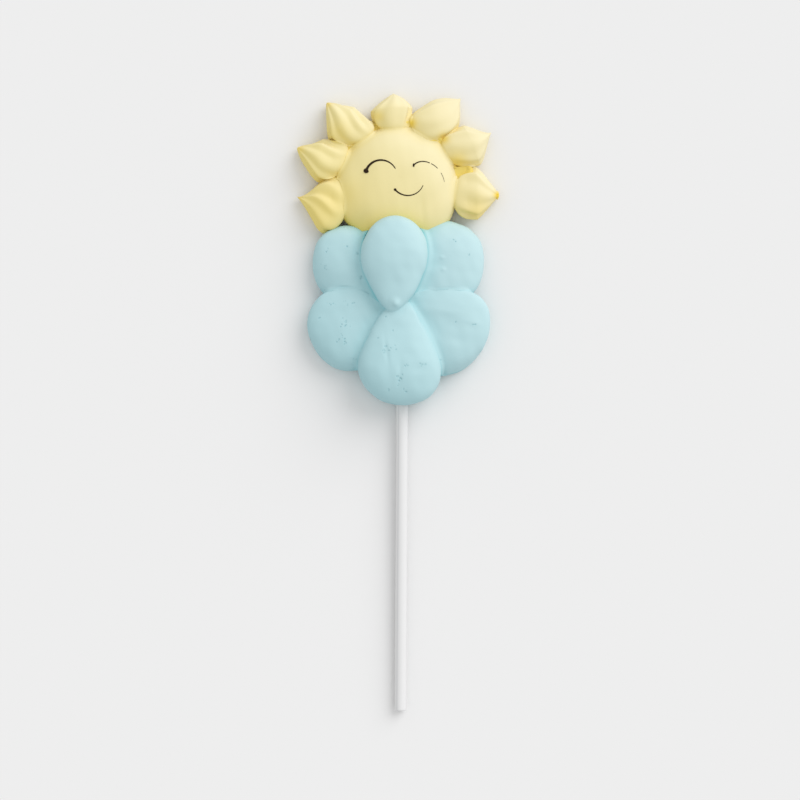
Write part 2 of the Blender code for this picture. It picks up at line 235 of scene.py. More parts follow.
LUMPS = {
    "drop_front": (
        Lump(-0.5, 33.9, 1.2, 1.2, 0.0, 0.75), Lump(-3.3, 33.4, 1.6, 0.7, 70.0, -0.2)),
    "drop_upper_right": (
        Lump(13.6, 46.9, 2.2, 1.7, 20.0, -0.3), Lump(15.3, 49.3, 0.9, 0.7, 0.0, 0.18),
        Lump(15.7, 45.2, 0.8, 0.7, 0.0, 0.22), Lump(19.5, 55.2, 1.6, 1.1, 30.0, 0.12)),
    "drop_lower_right": (
        Lump(19.8, 21.3, 2.8, 1.8, -30.0, -0.22), Lump(16.5, 31.0, 6.5, 1.5, -8.0, 0.22),
        Lump(25.6, 27.2, 3.2, 1.1, -15.0, 0.15), Lump(13.6, 24.4, 1.5, 4.0, 20.0, -0.2),
        Lump(24.2, 16.0, 3.0, 1.5, 40.0, 0.15)),
    "drop_lower_left": (
        Lump(-17.8, 33.2, 4.5, 1.5, 5.0, 0.12), Lump(-10.5, 26.5, 1.2, 4.0, 25.0, -0.15)),
    "drop_bottom": (
        Lump(-3.6, 17.5, 0.8, 4.5, 8.0, -0.22), Lump(5.9, 30.1, 2.0, 1.0, -60.0, 0.25),
        Lump(9.2, 24.6, 3.0, 1.2, -60.0, 0.22), Lump(0.9, 9.4, 0.9, 3.8, -5.0, -0.2),
        Lump(8.0, 11.5, 2.5, 1.4, 30.0, -0.18), Lump(3.9, 20.5, 2.4, 3.6, 0.0, 0.15)),
    "drop_upper_left": (
        Lump(-22.9, 52.3, 1.8, 1.2, 20.0, 0.1), Lump(-20.0, 44.0, 3.0, 2.0, 0.0, 0.12)),
    "sun_disc": (
        Lump(10.6, 66.0, 1.4, 6.0, 6.0, 0.10), Lump(8.6, 65.5, 1.0, 6.0, 6.0, -0.08),
        Lump(-9.0, 84.0, 7.0, 4.0, 30.0, 0.15), Lump(8.0, 86.5, 6.0, 3.0, -20.0, 0.12)),
}


class Pores(NamedTuple):
    """A patch of burst air bubbles, scattered over an oval on the upper side of a piece."""

    x: float
    y: float
    long: float
    wide: float
    count: int
    radius: float


PORES = {
    "drop_lower_left": (
        Pores(-22.2, 33.6, 2.0, 0.8, 5, 0.2), Pores(-17.1, 34.0, 2.5, 1.2, 7, 0.2),
        Pores(-17.4, 26.8, 3.0, 2.0, 12, 0.22), Pores(-18.5, 21.3, 2.5, 2.0, 10, 0.22),
        Pores(-17.8, 20.6, 0.1, 0.1, 1, 0.42), Pores(-26.7, 28.8, 0.5, 0.3, 2, 0.25),
        Pores(-14.4, 14.5, 0.5, 0.5, 2, 0.2)),
    "drop_bottom": (
        Pores(-3.8, 29.2, 0.1, 0.1, 1, 0.32), Pores(-1.4, 24.7, 0.3, 0.3, 1, 0.28),
        Pores(-6.5, 21.7, 0.3, 0.3, 2, 0.25), Pores(-4.1, 17.2, 1.0, 2.5, 8, 0.24),
        Pores(-1.4, 18.6, 1.5, 1.5, 8, 0.2), Pores(2.7, 12.8, 1.2, 1.2, 6, 0.22),
        Pores(0.65, 8.7, 1.2, 3.0, 10, 0.24), Pores(2.7, 4.3, 1.2, 1.0, 5, 0.22),
        Pores(8.8, 12.8, 1.8, 1.0, 7, 0.2), Pores(-2.1, 4.3, 1.0, 1.0, 3, 0.2)),
    "drop_upper_left": (
        Pores(-13.7, 50.7, 0.3, 0.3, 2, 0.28), Pores(-17.1, 53.1, 0.3, 0.3, 1, 0.26),
        Pores(-24.6, 45.9, 1.5, 1.5, 6, 0.2), Pores(-23.6, 52.0, 1.0, 1.0, 3, 0.2),
        Pores(-12.3, 42.5, 0.5, 1.0, 3, 0.28)),
    "drop_upper_right": (
        Pores(19.1, 55.1, 1.0, 0.6, 3, 0.22), Pores(24.4, 50.5, 0.4, 0.4, 2, 0.24)),
    "drop_lower_right": (
        Pores(20.4, 27.5, 1.0, 0.5, 2, 0.24), Pores(26.1, 26.5, 1.4, 0.15, 4, 0.2),
        Pores(15.0, 14.2, 1.0, 1.0, 3, 0.22)),
}
PORE_SIZES = (0.5, 1.1)     # least and greatest radius, as shares of their patch's own
PORE_MARGIN = 2.0           # how far past its patch a pore can be felt

# Where the skin is painted with shade, deeper coloured, and where with light, paler.
HOLLOW_BLUR = 3.0       # how far round it a place has to be lower to count as a hollow
HOLLOW_FULL = 9.0       # and how much lower, for the deepest painted shade
RAY_DEPTH = 0.07        # the rays are this much deeper coloured than the face
PAINTED_LIGHT_BEARING = 45.0     # the key light's side, towards which painted light makes it paler
PAINTED_LIGHT_TURN = 0.4         # how much paler painted light makes it where it faces that way
PAINTED_LIGHT_WAY = 0.008        # and how much paler it is made with each mm that way


class ShadePatch(NamedTuple):
    """A round patch of painted shade, where a piece is deeper coloured."""

    x: float
    y: float
    reach: float
    share: float


# Patches of painted shade: on shaded flanks, at thin ray tips and in the nooks between pieces.
SHADE_PATCHES = {
    "sun_disc": (ShadePatch(-18.0, 71.5, 5.0, 0.15),),
    "ray_1": (ShadePatch(-34.0, 70.8, 1.6, 0.5), ShadePatch(-22.0, 68.0, 8.0, 0.15)),
    "ray_2": (ShadePatch(-33.3, 86.9, 1.6, 0.4),),
    "ray_3": (ShadePatch(-23.7, 102.2, 1.6, 0.5), ShadePatch(-20.0, 92.0, 3.5, 0.2)),
    "ray_4": (ShadePatch(-6.5, 97.5, 2.0, 0.4), ShadePatch(4.8, 95.3, 1.6, 0.6)),
    "ray_5": (ShadePatch(4.8, 95.3, 1.8, 0.8), ShadePatch(15.9, 90.0, 1.8, 0.7)),
    "ray_6": (ShadePatch(20.5, 81.5, 3.5, 0.6), ShadePatch(15.9, 90.0, 1.8, 0.7)),
    "ray_7": (ShadePatch(34.5, 70.7, 1.5, 1.0), ShadePatch(28.0, 63.5, 6.0, 0.3)),
}


class Stroke(NamedTuple):
    """One icing stroke of the face: part of a spiral, drawn from a fat start to a thin end."""

    centre: tuple
    start_radius: float
    end_radius: float
    start_bearing: float
    end_bearing: float
    blob: float         # half width of the blob that it starts with
    start_width: float
    end_width: float


STROKES = {
    "left_eye": Stroke((-5.9, 76.9), 4.9, 5.9, 168.0, 24.0, 0.92, 0.95, 0.34),
    "right_eye": Stroke((6.7, 77.0), 3.5, 6.3, 112.0, 44.0, 0.60, 0.62, 0.26),
    "right_eye_trace": Stroke((6.7, 77.0), 6.45, 7.6, 41.0, 20.0, 0.0, 0.26, 0.18),
    "right_eye_end": Stroke((6.7, 77.0), 8.3, 9.6, 8.0, -12.0, 0.0, 0.16, 0.12),
    "mouth": Stroke((3.85, 75.9), 5.8, 5.4, 214.0, 338.0, 0.46, 0.58, 0.24),
}
STROKE_GRID = (90, 20)
STROKE_FLATNESS = 0.6   # height of a bead over its half width
STROKE_BED = 0.6        # how far the face is smoothed under a bead
STROKE_BLUNT = 40       # how bluntly a bead ends
ICING_COLOUR = (40, 24, 8)

# The paper stick: 4 x 150 mm, leaning a little to the right and rising a little into the head.
STICK_DIAMETER = 4.0
STICK_TIP = (1.1, -105.5)
STICK_LENGTH = 150.0
STICK_LEAN = 0.35
STICK_RISE = 0.7
STICK_END_ROUND = 0.5
STICK_END_RINGS = 8
STICK_GRID = (160, 56)
SEAM_BEARING = 128.0    # where the paper's glued edge lies round the stick, in degrees
SEAM_WIDTH = 6.0
SEAM_DEPTH = 0.02       # share of the radius
PAPER_COLOUR = (221, 221, 221)
SEAM_COLOUR = (204, 205, 206)


class Relief(NamedTuple):
    """Fine noise on a surface, as bumps that the material makes."""

    scale: float
    detail: float
    strength: float
    depth: float
    lengthwise: float   # its scale along the stick over that across it


SKIN_GRAIN = Relief(1400.0, 3.0, 0.25, 0.08, 1.0)
PAPER_FIBRES = Relief(2500.0, 2.0, 0.2, 0.05, 0.15)

# The table and its light: how bright it is, and what share of that comes from the key light.
TABLE_HALF = 1500.0
TABLE_PAINT = (0.80, 0.80, 0.80, 1.0)
TABLE_LIGHT = 1.069
KEY_SHARE = 0.26
KEY_BEARING = 45.0
KEY_HEIGHT = 35.0       # angle above the table
KEY_SPREAD = 50.0

# The camera, which looks straight down.
PICTURE_WIDTH = 800.0   # in pixels
PX_PER_MM = 2.93
SCALE_HEIGHT = 6.0      # the picture's scale is true at this height
CAMERA_HEIGHT = 1200.0
CAMERA_PLACE = (0.99, 0.85)
SENSOR_WIDTH = 36.0


def linear(channel):
    """A screen value from 0 to 255 as the linear light that a shader takes."""
    share = channel / 255.0
    return share / 12.92 if share <= 0.04045 else ((share + 0.055) / 1.055) ** 2.4


def colour(screen):
    """A colour seen on a screen, from 0 to 255, as a shader's linear colour."""
    return (*(linear(channel) for channel in screen), 1.0)


def round_about(middle, bearing, away):
    """Points at a bearing, in radians, and a distance from a middle."""
    return middle[0] + away * np.cos(bearing), middle[1] + away * np.sin(bearing)


def rounded_section(angles, squareness):
    """Distance of a unit superellipse from its middle: (|cos|^n + |sin|^n) ^ (-1 / n)."""
    power = np.abs(np.cos(angles)) ** squareness + np.abs(np.sin(angles)) ** squareness
    return power ** (-1.0 / squareness)


def domed(share, power):
    """Height of a unit superellipse at a share of the way out to its rim."""
    return (1.0 - np.clip(np.abs(share), 0.0, 1.0) ** power) ** (1.0 / power)


def side_angles(sides):
    """Angles round a section, closer together on top: a + share * cos(a) for even angles a."""
    even = np.linspace(0.0, 2.0 * math.pi, sides, endpoint=False)
    return even + TOP_SIDE_SHARE * np.cos(even)


class Form(NamedTuple):
    """A piped piece as the grids need it: how wide and how high it is along its way."""

    tail: tuple
    round_end: tuple
    width: float
    bow: float
    top: float
    belly: float
    tip: float
    root: float         # height of the widest level at the round end
    sole: float
    squareness: float
    lean: float
    girth: Callable     # share of the width at each share of the way from the tail
    crown: Callable     # share of the height there


def drop_form(drop):
    """A drop's form: 2 * sqrt(u * (1 - u)) * u ** (taper / 2) wide, over its greatest value."""
    fattest = (1.0 + drop.taper) / (2.0 + drop.taper)

    def swell(along):
        return np.sqrt(np.clip(along * (1.0 - along), 0.0, 1.0)) * along ** (drop.taper / 2.0)

    def girth(along):
        return np.clip(swell(along) / swell(fattest), 0.0, 1.0)

    return Form(drop.tail, drop.round_end, drop.width, drop.bow, drop.top, drop.belly, drop.tip,
                drop.belly, drop.sole, drop.squareness, drop.lean, girth, girth)


def ray_form(ray):
    """A ray's form. With u the share of the way from its tip, its girth is
    (1 - (1 - u / widest) ** bulge) ** point up to the widest place, and from there a quarter of
    a blunt superellipse. Its height goes the same way, with a bulge, a point and a bluntness of
    its own. A bead at the tip is added as a bell curve.
    """
    def rising(along, bulge, point):
        swell = (1.0 - (1.0 - np.clip(along / ray.widest, 0.0, 1.0)) ** bulge) ** point
        bead = np.exp(-((along - BEAD_PLACE) / BEAD_SPREAD) ** 2)
        return swell + 2.0 * ray.bead / ray.width * bead * (1.0 - swell)

    def falling(along, blunt):
        inward = np.clip((along - ray.widest) / (1.0 - ray.widest), 0.0, 1.0)
        return (1.0 - inward ** blunt) ** (1.0 / blunt)

    def girth(along):
        return np.where(along < ray.widest, rising(along, ray.bulge, ray.point),
                        falling(along, RAY_BLUNT))

    def crown(along):
        return np.where(along < ray.widest, rising(along, CREST_BULGE, max(CREST_POINT, ray.point)),
                        falling(along, CREST_BLUNT))

    return Form(round_about(SUN_CENTRE, math.radians(ray.tip_bearing), ray.tip_reach),
                round_about(SUN_CENTRE, math.radians(ray.root_bearing), ray.root_reach),
                ray.width, ray.bow, ray.top, RAY_BELLY, RAY_TIP, RAY_ROOT, RAY_SOLE,
                RAY_SQUARENESS, 0.0, girth, crown)


FORMS = {f"drop_{name}": drop_form(drop) for name, drop in DROPS.items()}
FORMS.update({f"ray_{number}": ray_form(ray) for number, ray in enumerate(RAYS, start=1)})


def way_of(form):
    """The middle of a form's way, the direction to its tail, its left, and half its length."""
    tail, round_end = np.array(form.tail), np.array(form.round_end)
    run = tail - round_end
    length = np.linalg.norm(run)
    along = run / length
    return (tail + round_end) / 2.0, along, np.array((-along[1], along[0])), length / 2.0


def bowed(form, along):
    """How far a form's way leans to its left: bow * 4 * u * (1 - u)."""
    return form.bow * 4.0 * along * (1.0 - along)


def beside_way(form, along, aside):
    """Points of the table at shares of a form's way from its tail, and this far to its left."""
    middle, forward, left, half = way_of(form)
    ahead = half * (1.0 - 2.0 * along)
    aside = aside + bowed(form, along)
    return (middle[0] + ahead * forward[0] + aside * left[0],
            middle[1] + ahead * forward[1] + aside * left[1])


def place_on(form, x, y):
    """Points of the table as shares of a form's way, from its tail, and of its half width.

    Also whether they lie inside its rim.
    """
    middle, forward, left, half = way_of(form)
    ahead = (x - middle[0]) * forward[0] + (y - middle[1]) * forward[1]
    aside = (x - middle[0]) * left[0] + (y - middle[1]) * left[1]
    along = np.clip((1.0 - ahead / half) / 2.0, END_MARGIN, 1.0 - END_MARGIN)
    across = (aside - bowed(form, along)) / (form.width / 2.0 * form.girth(along))
    return along, across, (np.abs(ahead) < half) & (np.abs(across) < 1.0)


def widest_level(form, along, across):
    """Height at which a form is widest: it bends towards the tip and the root, and leans."""
    bend = ((form.tip - form.belly) * (1.0 - along) ** TIP_BEND
            + (form.root - form.belly) * along ** ROOT_BEND)
    return form.belly + bend + form.lean * np.clip(across, -1.0, 1.0)


def piped_surface(form, grid, ridges=None):
    """Points over a piped piece, on a grid of rings by sides, and 1 at those of its upper side.

    Each ring crosses the way from the tail to the round end. The half width is the share of the
    girth, the heights above and below the widest level are powers of the shares, and what would
    reach below the table is pressed flat on it.
    """
    rings, sides = grid
    along = (1.0 - np.cos(np.linspace(0.0, math.pi, rings)[:, None])) / 2.0
    angles = side_angles(sides)[None, :]
    section = rounded_section(angles, form.squareness)
    if ridges is not None:
        section = section * ridges(along, angles)
    girth = form.girth(along)
    level = widest_level(form, along, section * np.cos(angles))
    above = (form.top - level) * form.crown(along) ** CROWN_FULLNESS
    below = (level - form.sole) * girth ** SOLE_FULLNESS
    height = level + np.where(np.sin(angles) > 0.0, above, below) * section * np.sin(angles)
    x, y = beside_way(form, along, form.width / 2.0 * girth * section * np.cos(angles))
    upper = np.clip(UPPER_RAMP * np.sin(angles), 0.0, 1.0)
    return np.stack((x, y, np.maximum(height, 0.0)), axis=-1), np.broadcast_to(upper, x.shape)


def ray_ridges(ray):
    """The star nozzle's ridges: |sin(8 * x / 2)| ** sharpness goes in round a ray, with its twist.

    The grooves aren't all as deep: they go in by 1 + unevenness * sin(3 * x) of the depth.
    """
    def ridges(along, angles):
        turned = angles - math.radians(ray.ridge_turn) - math.radians(ray.twist) * along
        groove = np.abs(np.sin(RAY_RIDGES * turned / 2.0)) ** GROOVE_SHARPNESS
        groove = groove * (1.0 + GROOVE_UNEVENNESS * np.sin(GROOVE_WAVES * turned))
        return 1.0 - ray.groove * np.clip((1.0 - along) / GROOVE_FADE, 0.0, 1.0) * groove

    return ridges


def sun_surface(grid):
    """Points over the sun's face, on a grid of rings by sides, and 1 at those of its upper side.

    Going down from the crown, the distance from the middle and the height follow one
    superellipse, which is deeper above the belly than below it, and is pressed flat on the table.
    """
    rings, sides = grid
    down = np.linspace(0.0, math.pi, rings)[:, None]
    bearing = np.linspace(0.0, 2.0 * math.pi, sides, endpoint=False)[None, :]
    section = rounded_section(down, SUN_SQUARENESS)
    x, y = round_about(SUN_CENTRE, bearing, SUN_RADIUS * section * np.sin(down))
    rise = np.where(np.cos(down) > 0.0, SUN_TOP - SUN_BELLY, SUN_BELLY - SUN_SOLE)
    height = np.maximum(SUN_BELLY + rise * section * np.cos(down), 0.0)
    upper = np.clip(UPPER_RAMP * np.cos(down), 0.0, 1.0)
    points = np.stack((x, y, np.broadcast_to(height, x.shape)), axis=-1)
    return points, np.broadcast_to(upper, x.shape)


class TableMap:
    """Numbers over the table under the head, on square cells, read off between their middles."""

    pitch = 0.5
    corner = np.array((-45.0, -15.0))
    cells = (180, 260)

    def __init__(self, values):
        self.values = values

    @classmethod
    def middles(cls):
        """Where the middles of the cells lie."""
        x = cls.corner[0] + (np.arange(cls.cells[0]) + 0.5) * cls.pitch
        y = cls.corner[1] + (np.arange(cls.cells[1]) + 0.5) * cls.pitch
        return np.meshgrid(x, y, indexing="ij")

    def read(self, x, y):
        """The value over each place."""
        place = (np.stack((x, y), axis=-1) - self.corner) / self.pitch - 0.5
        low = np.clip(np.floor(place).astype(int), 0, np.array(self.cells) - 2)
        part = np.clip(place - low, 0.0, 1.0)
        i, j = low[..., 0], low[..., 1]
        a, b = part[..., 0], part[..., 1]
        return ((1 - a) * (1 - b) * self.values[i, j] + a * (1 - b) * self.values[i + 1, j]
                + (1 - a) * b * self.values[i, j + 1] + a * b * self.values[i + 1, j + 1])


def blurred(values, blur):
    """Numbers over the table, blurred by a bell curve this wide, out to three times its width."""
    reach = int(3 * blur / TableMap.pitch)
    weights = np.exp(-0.5 * (np.arange(-reach, reach + 1) * TableMap.pitch / blur) ** 2)
    weights /= weights.sum()
    for axis in (0, 1):
        values = np.apply_along_axis(np.convolve, axis, values, weights, "same")
    return values


def skyline(surfaces):
    """The highest point of all these surfaces over every cell of the table."""
    tops = np.zeros(TableMap.cells)
    for points in surfaces:
        spot = ((points[..., :2].reshape(-1, 2) - TableMap.corner) / TableMap.pitch).astype(int)
        np.maximum.at(tops, (spot[:, 0], spot[:, 1]), points[..., 2].ravel())
    return tops


def rim_map(form):
    """Distance of each cell from a form's rim, less than 0 inside it, as far as it is needed."""
    along = (1.0 - np.cos(np.linspace(0.0, math.pi, RIM_STATIONS))) / 2.0
    rim = np.concatenate([
        np.stack(beside_way(form, along, side * form.width / 2.0 * form.girth(along)), axis=-1)
        for side in (-1.0, 1.0)])
    x, y = TableMap.middles()
    low, high = rim.min(axis=0) - RIM_REACH, rim.max(axis=0) + RIM_REACH
    near = (x > low[0]) & (x < high[0]) & (y > low[1]) & (y < high[1])
    spots = np.stack((x[near], y[near]), axis=-1)
    gap = np.sqrt(((spots[:, None, :] - rim[None, :, :]) ** 2).sum(axis=-1).min(axis=1))
    values = np.full(x.shape, RIM_REACH)
    inside = place_on(form, spots[:, 0], spots[:, 1])[2]
    values[near] = np.where(inside, -gap, np.minimum(gap, RIM_REACH))
    return TableMap(values)


RIMS = {node: rim_map(form) for node, form in FORMS.items()}


def from_sun(x, y):
    """Distance of points of the table from the middle of the sun."""
    return np.hypot(x - SUN_CENTRE[0], y - SUN_CENTRE[1])


def beyond_rim(node, x, y):
    """Distance of points of the table from a piece's rim, less than 0 inside it."""
    return from_sun(x, y) - SUN_RADIUS if node == "sun_disc" else RIMS[node].read(x, y)


def sun_top(x, y):
    """Height of the sun's face over points of the table, and whether they lie inside its rim."""
    away = from_sun(x, y) / SUN_RADIUS
    return SUN_BELLY + (SUN_TOP - SUN_BELLY) * domed(away, SUN_SQUARENESS), away < 1.0


def piped_top(form, x, y):
    """Height of a piped piece's upper side over points of the table, and which lie inside it."""
    along, across, here = place_on(form, x, y)
    level = widest_level(form, along, across)
    crown = form.crown(along) ** CROWN_FULLNESS
    return level + (form.top - level) * crown * domed(across, form.squareness), here


def press_limit(overlap, x, y):
    """How high a piece may reach near the rim of one that lies over it.

    That is the crease inside the rim, and away from it a quarter of an ellipse up to a height
    that no longer matters.
    """
    form = FORMS[overlap.over]
    along, across, _ = place_on(form, x, y)
    crease = widest_level(form, along, across) - overlap.sink
    gap = np.clip(RIMS[overlap.over].read(x, y) / overlap.shoulder, 0.0, 1.0)
    full = FORMS[overlap.under].top + PRESS_HEADROOM
    return np.where(gap < 1.0, crease + (full - crease) * np.sqrt(1.0 - (1.0 - gap) ** 2), FAR)


def pressed(height, node, x, y):
    """A height on a piece, brought down softly where other pieces lie over it."""
    for overlap in OVERLAPS:
        if overlap.under == node:
            limit = press_limit(overlap, x, y)
            close = np.clip(1.0 - np.abs(height - limit) / PRESS_SOFTNESS, 0.0, 1.0)
            height = np.minimum(height, limit) - PRESS_SOFTNESS / 4.0 * close ** 2
    return height


def family_of(node):
    """Which of the two colours a piece has."""
    return "cloud" if node.startswith("drop") else "sun"


def family_tops(family, x, y):
    """Each piece of the cloud or of the sun, its top over points of the table, and where it is."""
    for node in ("sun_disc", *FORMS):
        if family_of(node) == family:
            height, here = sun_top(x, y) if node == "sun_disc" else piped_top(FORMS[node], x, y)
            yield node, pressed(height, node, x, y), here


def level_map(family):
    """The tops of the cloud or of the sun, blurred, over the table.

    Each piece's top goes on beyond its rim, falling steeply, over its neighbours.
    """
    x, y = TableMap.middles()
    level, covered = np.zeros(x.shape), np.zeros(x.shape, bool)
    for node, height, here in family_tops(family, x, y):
        level = np.maximum(level, height - SKIRT * np.maximum(beyond_rim(node, x, y), 0.0))
        covered |= here
    return TableMap(blurred(np.where(covered, level, 0.0), FAMILIES[family].melt))


def covered_top(own, x, y):
    """Height of a piece's top over points of the table, or of one that lies well over it.

    Inside the hem along its rim the other piece counts for less, the nearer to the rim.
    """
    tops = np.zeros(x.shape)
    for node, height, _ in family_tops(family_of(own), x, y):
        if node != own:
            beyond = beyond_rim(node, x, y)
            height = np.where(beyond < 0.0, height - HEM_SLOPE * np.maximum(beyond + HEM, 0.0), 0.0)
        tops = np.maximum(tops, height)
    return tops


def melted(points, upper, node, level):
    """A piece's points with its upper side pressed and its valleys filled, and how far filled.

    The level is the tops of its family, blurred. Where that lies higher than the tops do, which
    is in the valleys, the upper side rises to it, so that two pieces meet in one soft valley.
    """
    x, y = points[..., 0], points[..., 1]
    lowered = pressed(points[..., 2], node, x, y) - points[..., 2]
    raised = np.maximum(level.read(x, y) - covered_top(node, x, y), 0.0) * upper
    settled = points.copy()
    settled[..., 2] += lowered * upper + raised
    return settled, raised


def outward(points):
    """Unit normals over a grid of rings by sides, from the steps along and round it."""
    step_along = np.gradient(points, axis=0)
    step_round = (np.roll(points, -1, axis=1) - np.roll(points, 1, axis=1)) / 2.0
    normal = np.cross(step_along, step_round)
    size = np.linalg.norm(normal, axis=-1, keepdims=True)
    normal = np.where(size > TINY, normal / np.maximum(size, TINY), 0.0)
    middle = points.mean(axis=(0, 1))
    return -normal if np.sum(normal * (points - middle)) < 0.0 else normal


def unevenness(points, seed):
    """Height of soft irregular waves at each point: sines along random directions, seeded."""
    draw = np.random.default_rng(seed)
    height = np.zeros(points.shape[:-1])
    for wave, tall in WAVES:
        for _ in range(WAVE_DIRECTIONS):
            direction = draw.normal(size=3)
            direction *= 2.0 * math.pi / wave / np.linalg.norm(direction)
            height += tall * np.sin(points @ direction + draw.uniform(0.0, 2.0 * math.pi))
    return height


def lumps(points, node):
    """Height of a piece's lumps at each point: bell curves over ovals."""
    height = np.zeros(points.shape[:-1])
    for lump in LUMPS.get(node, ()):
        turn = math.radians(lump.turn)
        x, y = points[..., 0] - lump.x, points[..., 1] - lump.y
        ahead = (x * math.cos(turn) + y * math.sin(turn)) / lump.long
        aside = (y * math.cos(turn) - x * math.sin(turn)) / lump.wide
        height += lump.height * np.exp(-(ahead ** 2 + aside ** 2))
    return height


def waved(points, normal, raised, swell):
    """Points moved by the swell along the normals that they had before their valleys were filled.

    The more a point is raised, the more it moves straight up instead, so that the two sides of
    a valley keep one height and the skin doesn't fold over itself.
    """
    upright = np.clip(raised / UPRIGHT, 0.0, 1.0)[..., None]
    way = (1.0 - upright) * normal + upright * np.array((0.0, 0.0, 1.0))
    return points + way * swell[..., None]


def set_skin(points, upper, node, level):
    """A piece's points once it has set: melted into its neighbours, waved, lumpy and flat below.

    Also how far its valleys are filled.
    """
    normal = outward(points)
    points, raised = melted(points, upper, node, level)
    ring = np.arange(len(points))
    from_end = np.minimum(ring, ring[::-1])[:, None]
    swell = unevenness(points, FAMILIES[family_of(node)].wave_seed)
    swell = swell * np.clip(from_end / CALM_RINGS, 0.0, 1.0) + lumps(points, node) * upper
    points = waved(points, normal, raised, swell)
    points[..., 2] = np.maximum(points[..., 2], 0.0)
    for end in (0, -1):
        points[end] = points[end].mean(axis=0)
    return points, raised


def pores(points, node, seed):
    """Depth of a piece's pores at each point, and how far each point lies in one, from 0 to 1."""
    draw = np.random.default_rng(seed)
    depth = np.zeros(points.shape[:-1])
    inside = np.zeros(points.shape[:-1])
    for patch in PORES.get(node, ()):
        spots = draw.normal(size=(patch.count, 2)) * (patch.long / 2.0, patch.wide / 2.0)
        spots = np.clip(spots, (-patch.long, -patch.wide), (patch.long, patch.wide))
        radii = patch.radius * draw.uniform(*PORE_SIZES, size=patch.count)
        reach = patch.long + patch.wide + PORE_MARGIN
        near = (np.abs(points[..., 0] - patch.x) < reach) & (np.abs(points[..., 1] - patch.y) < reach)
        x, y = points[near][:, 0, None] - patch.x, points[near][:, 1, None] - patch.y
        bell = np.exp(-((x - spots[:, 0]) ** 2 + (y - spots[:, 1]) ** 2) / radii ** 2)
        depth[near] = np.maximum(depth[near], (bell * radii).max(axis=-1))
        inside[near] = np.maximum(inside[near], bell.max(axis=-1))
    return depth, inside


def deepened(points, node, raised, tops):
    """How deep a piece's colour is at each point, from 0 to 1: painted shade in hollows, valleys and
    shade patches, and the rays' even deeper tone.
    """
    x, y, z = points[..., 0], points[..., 1], points[..., 2]
    depth = np.maximum((tops.read(x, y) - z) / HOLLOW_FULL, raised / MELT_FULL)
    for shade_patch in SHADE_PATCHES.get(node, ()):
        away = np.hypot(x - shade_patch.x, y - shade_patch.y) / shade_patch.reach
        depth = np.maximum(depth, shade_patch.share * np.exp(-away ** 2))
    return np.clip(depth + RAY_DEPTH * node.startswith("ray"), 0.0, 1.0)


def painted_side_shade(points, normal, node):
    """Painted shade by side: how far each point lies and faces away from the key light's side, from
    0, painted paler, to 1.
    """
    bearing = math.radians(PAINTED_LIGHT_BEARING)
    side = np.array((math.cos(bearing), math.sin(bearing)))
    toward = (points[..., :2] - FAMILIES[family_of(node)].middle) @ side
    return np.clip(0.5 - PAINTED_LIGHT_TURN * (normal[..., :2] @ side) - PAINTED_LIGHT_WAY * toward, 0.0, 1.0)


def placed(name, data):
    """A new object of the scene, at the origin."""
    thing = bpy.data.objects.new(name, data)
    bpy.context.scene.collection.objects.link(thing)
    return thing


def grid_piece(name, points, material, marks=None):
    """A closed, smooth mesh over a grid whose first and last rings each shrink to one point.

    Each mark is one number at every point of the grid, which the material reads by its name.
    """
    rings, sides = points.shape[:2]

    def run(values):
        return np.concatenate((values[:1, 0], values[1:-1].reshape(-1, *values.shape[2:]),
                               values[-1:, 0]))

    flat = run(points)
    last = len(flat) - 1
    number = 1 + np.arange((rings - 2) * sides).reshape(rings - 2, sides)
    after = np.roll(number, -1, axis=1)
    quads = np.stack((number[:-1], number[1:], after[1:], after[:-1]), axis=-1).reshape(-1, 4)
    first_fan = np.stack((np.zeros(sides, int), number[0], after[0]), axis=-1)
    last_fan = np.stack((np.full(sides, last), after[-1], number[-1]), axis=-1)
    corners = np.concatenate((quads.ravel(), first_fan.ravel(), last_fan.ravel()))
    sizes = np.concatenate((np.full(len(quads), 4), np.full(2 * sides, 3)))
    starts = np.concatenate(((0,), np.cumsum(sizes)[:-1]))

    mesh = bpy.data.meshes.new(name)
    mesh.vertices.add(len(flat))
    mesh.vertices.foreach_set("co", (flat * MM).astype(np.float32).ravel())
    mesh.loops.add(len(corners))
    mesh.loops.foreach_set("vertex_index", corners.astype(np.int32))
    mesh.polygons.add(len(sizes))
    mesh.polygons.foreach_set("loop_start", starts.astype(np.int32))
    mesh.polygons.foreach_set("loop_total", sizes.astype(np.int32))
    mesh.update(calc_edges=True)
    if inside_volume(flat, corners, starts, sizes) < 0.0:
        mesh.flip_normals()
    mesh.shade_smooth()
    for mark, values in (marks or {}).items():
        attribute = mesh.attributes.new(mark, "FLOAT", "POINT")
        attribute.data.foreach_set("value", run(values).astype(np.float32))
    mesh.materials.append(material)
    return placed(name, mesh)


def inside_volume(places, corners, starts, sizes):
    """Volume inside a closed mesh, which is negative when its faces point in."""
    total = 0.0
    for first in (1, 2):
        wide = starts[sizes > first + 1]
        a, b, c = (places[corners[wide + step]] for step in (0, first, first + 1))
        total += float(np.einsum("ij,ij->i", a, np.cross(b, c)).sum())
    return total / 6.0


def show(piece, node, slot):
    """Tie a finished piece to the solid that it stands for."""
    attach(piece, BODY)
    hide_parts(node)


def new_material(name, roughness):
    """A new material, with its node tree and its shader."""
    material = bpy.data.materials.new(name)
    material.use_nodes = True
    shader = material.node_tree.nodes["Principled BSDF"]
    shader.inputs["Roughness"].default_value = roughness
    return material, material.node_tree, shader


def attribute_value(tree, name):
    """The output of a node that reads one mark of the mesh."""
    node = tree.nodes.new("ShaderNodeAttribute")
    node.attribute_name = name
    return node.outputs["Fac"]


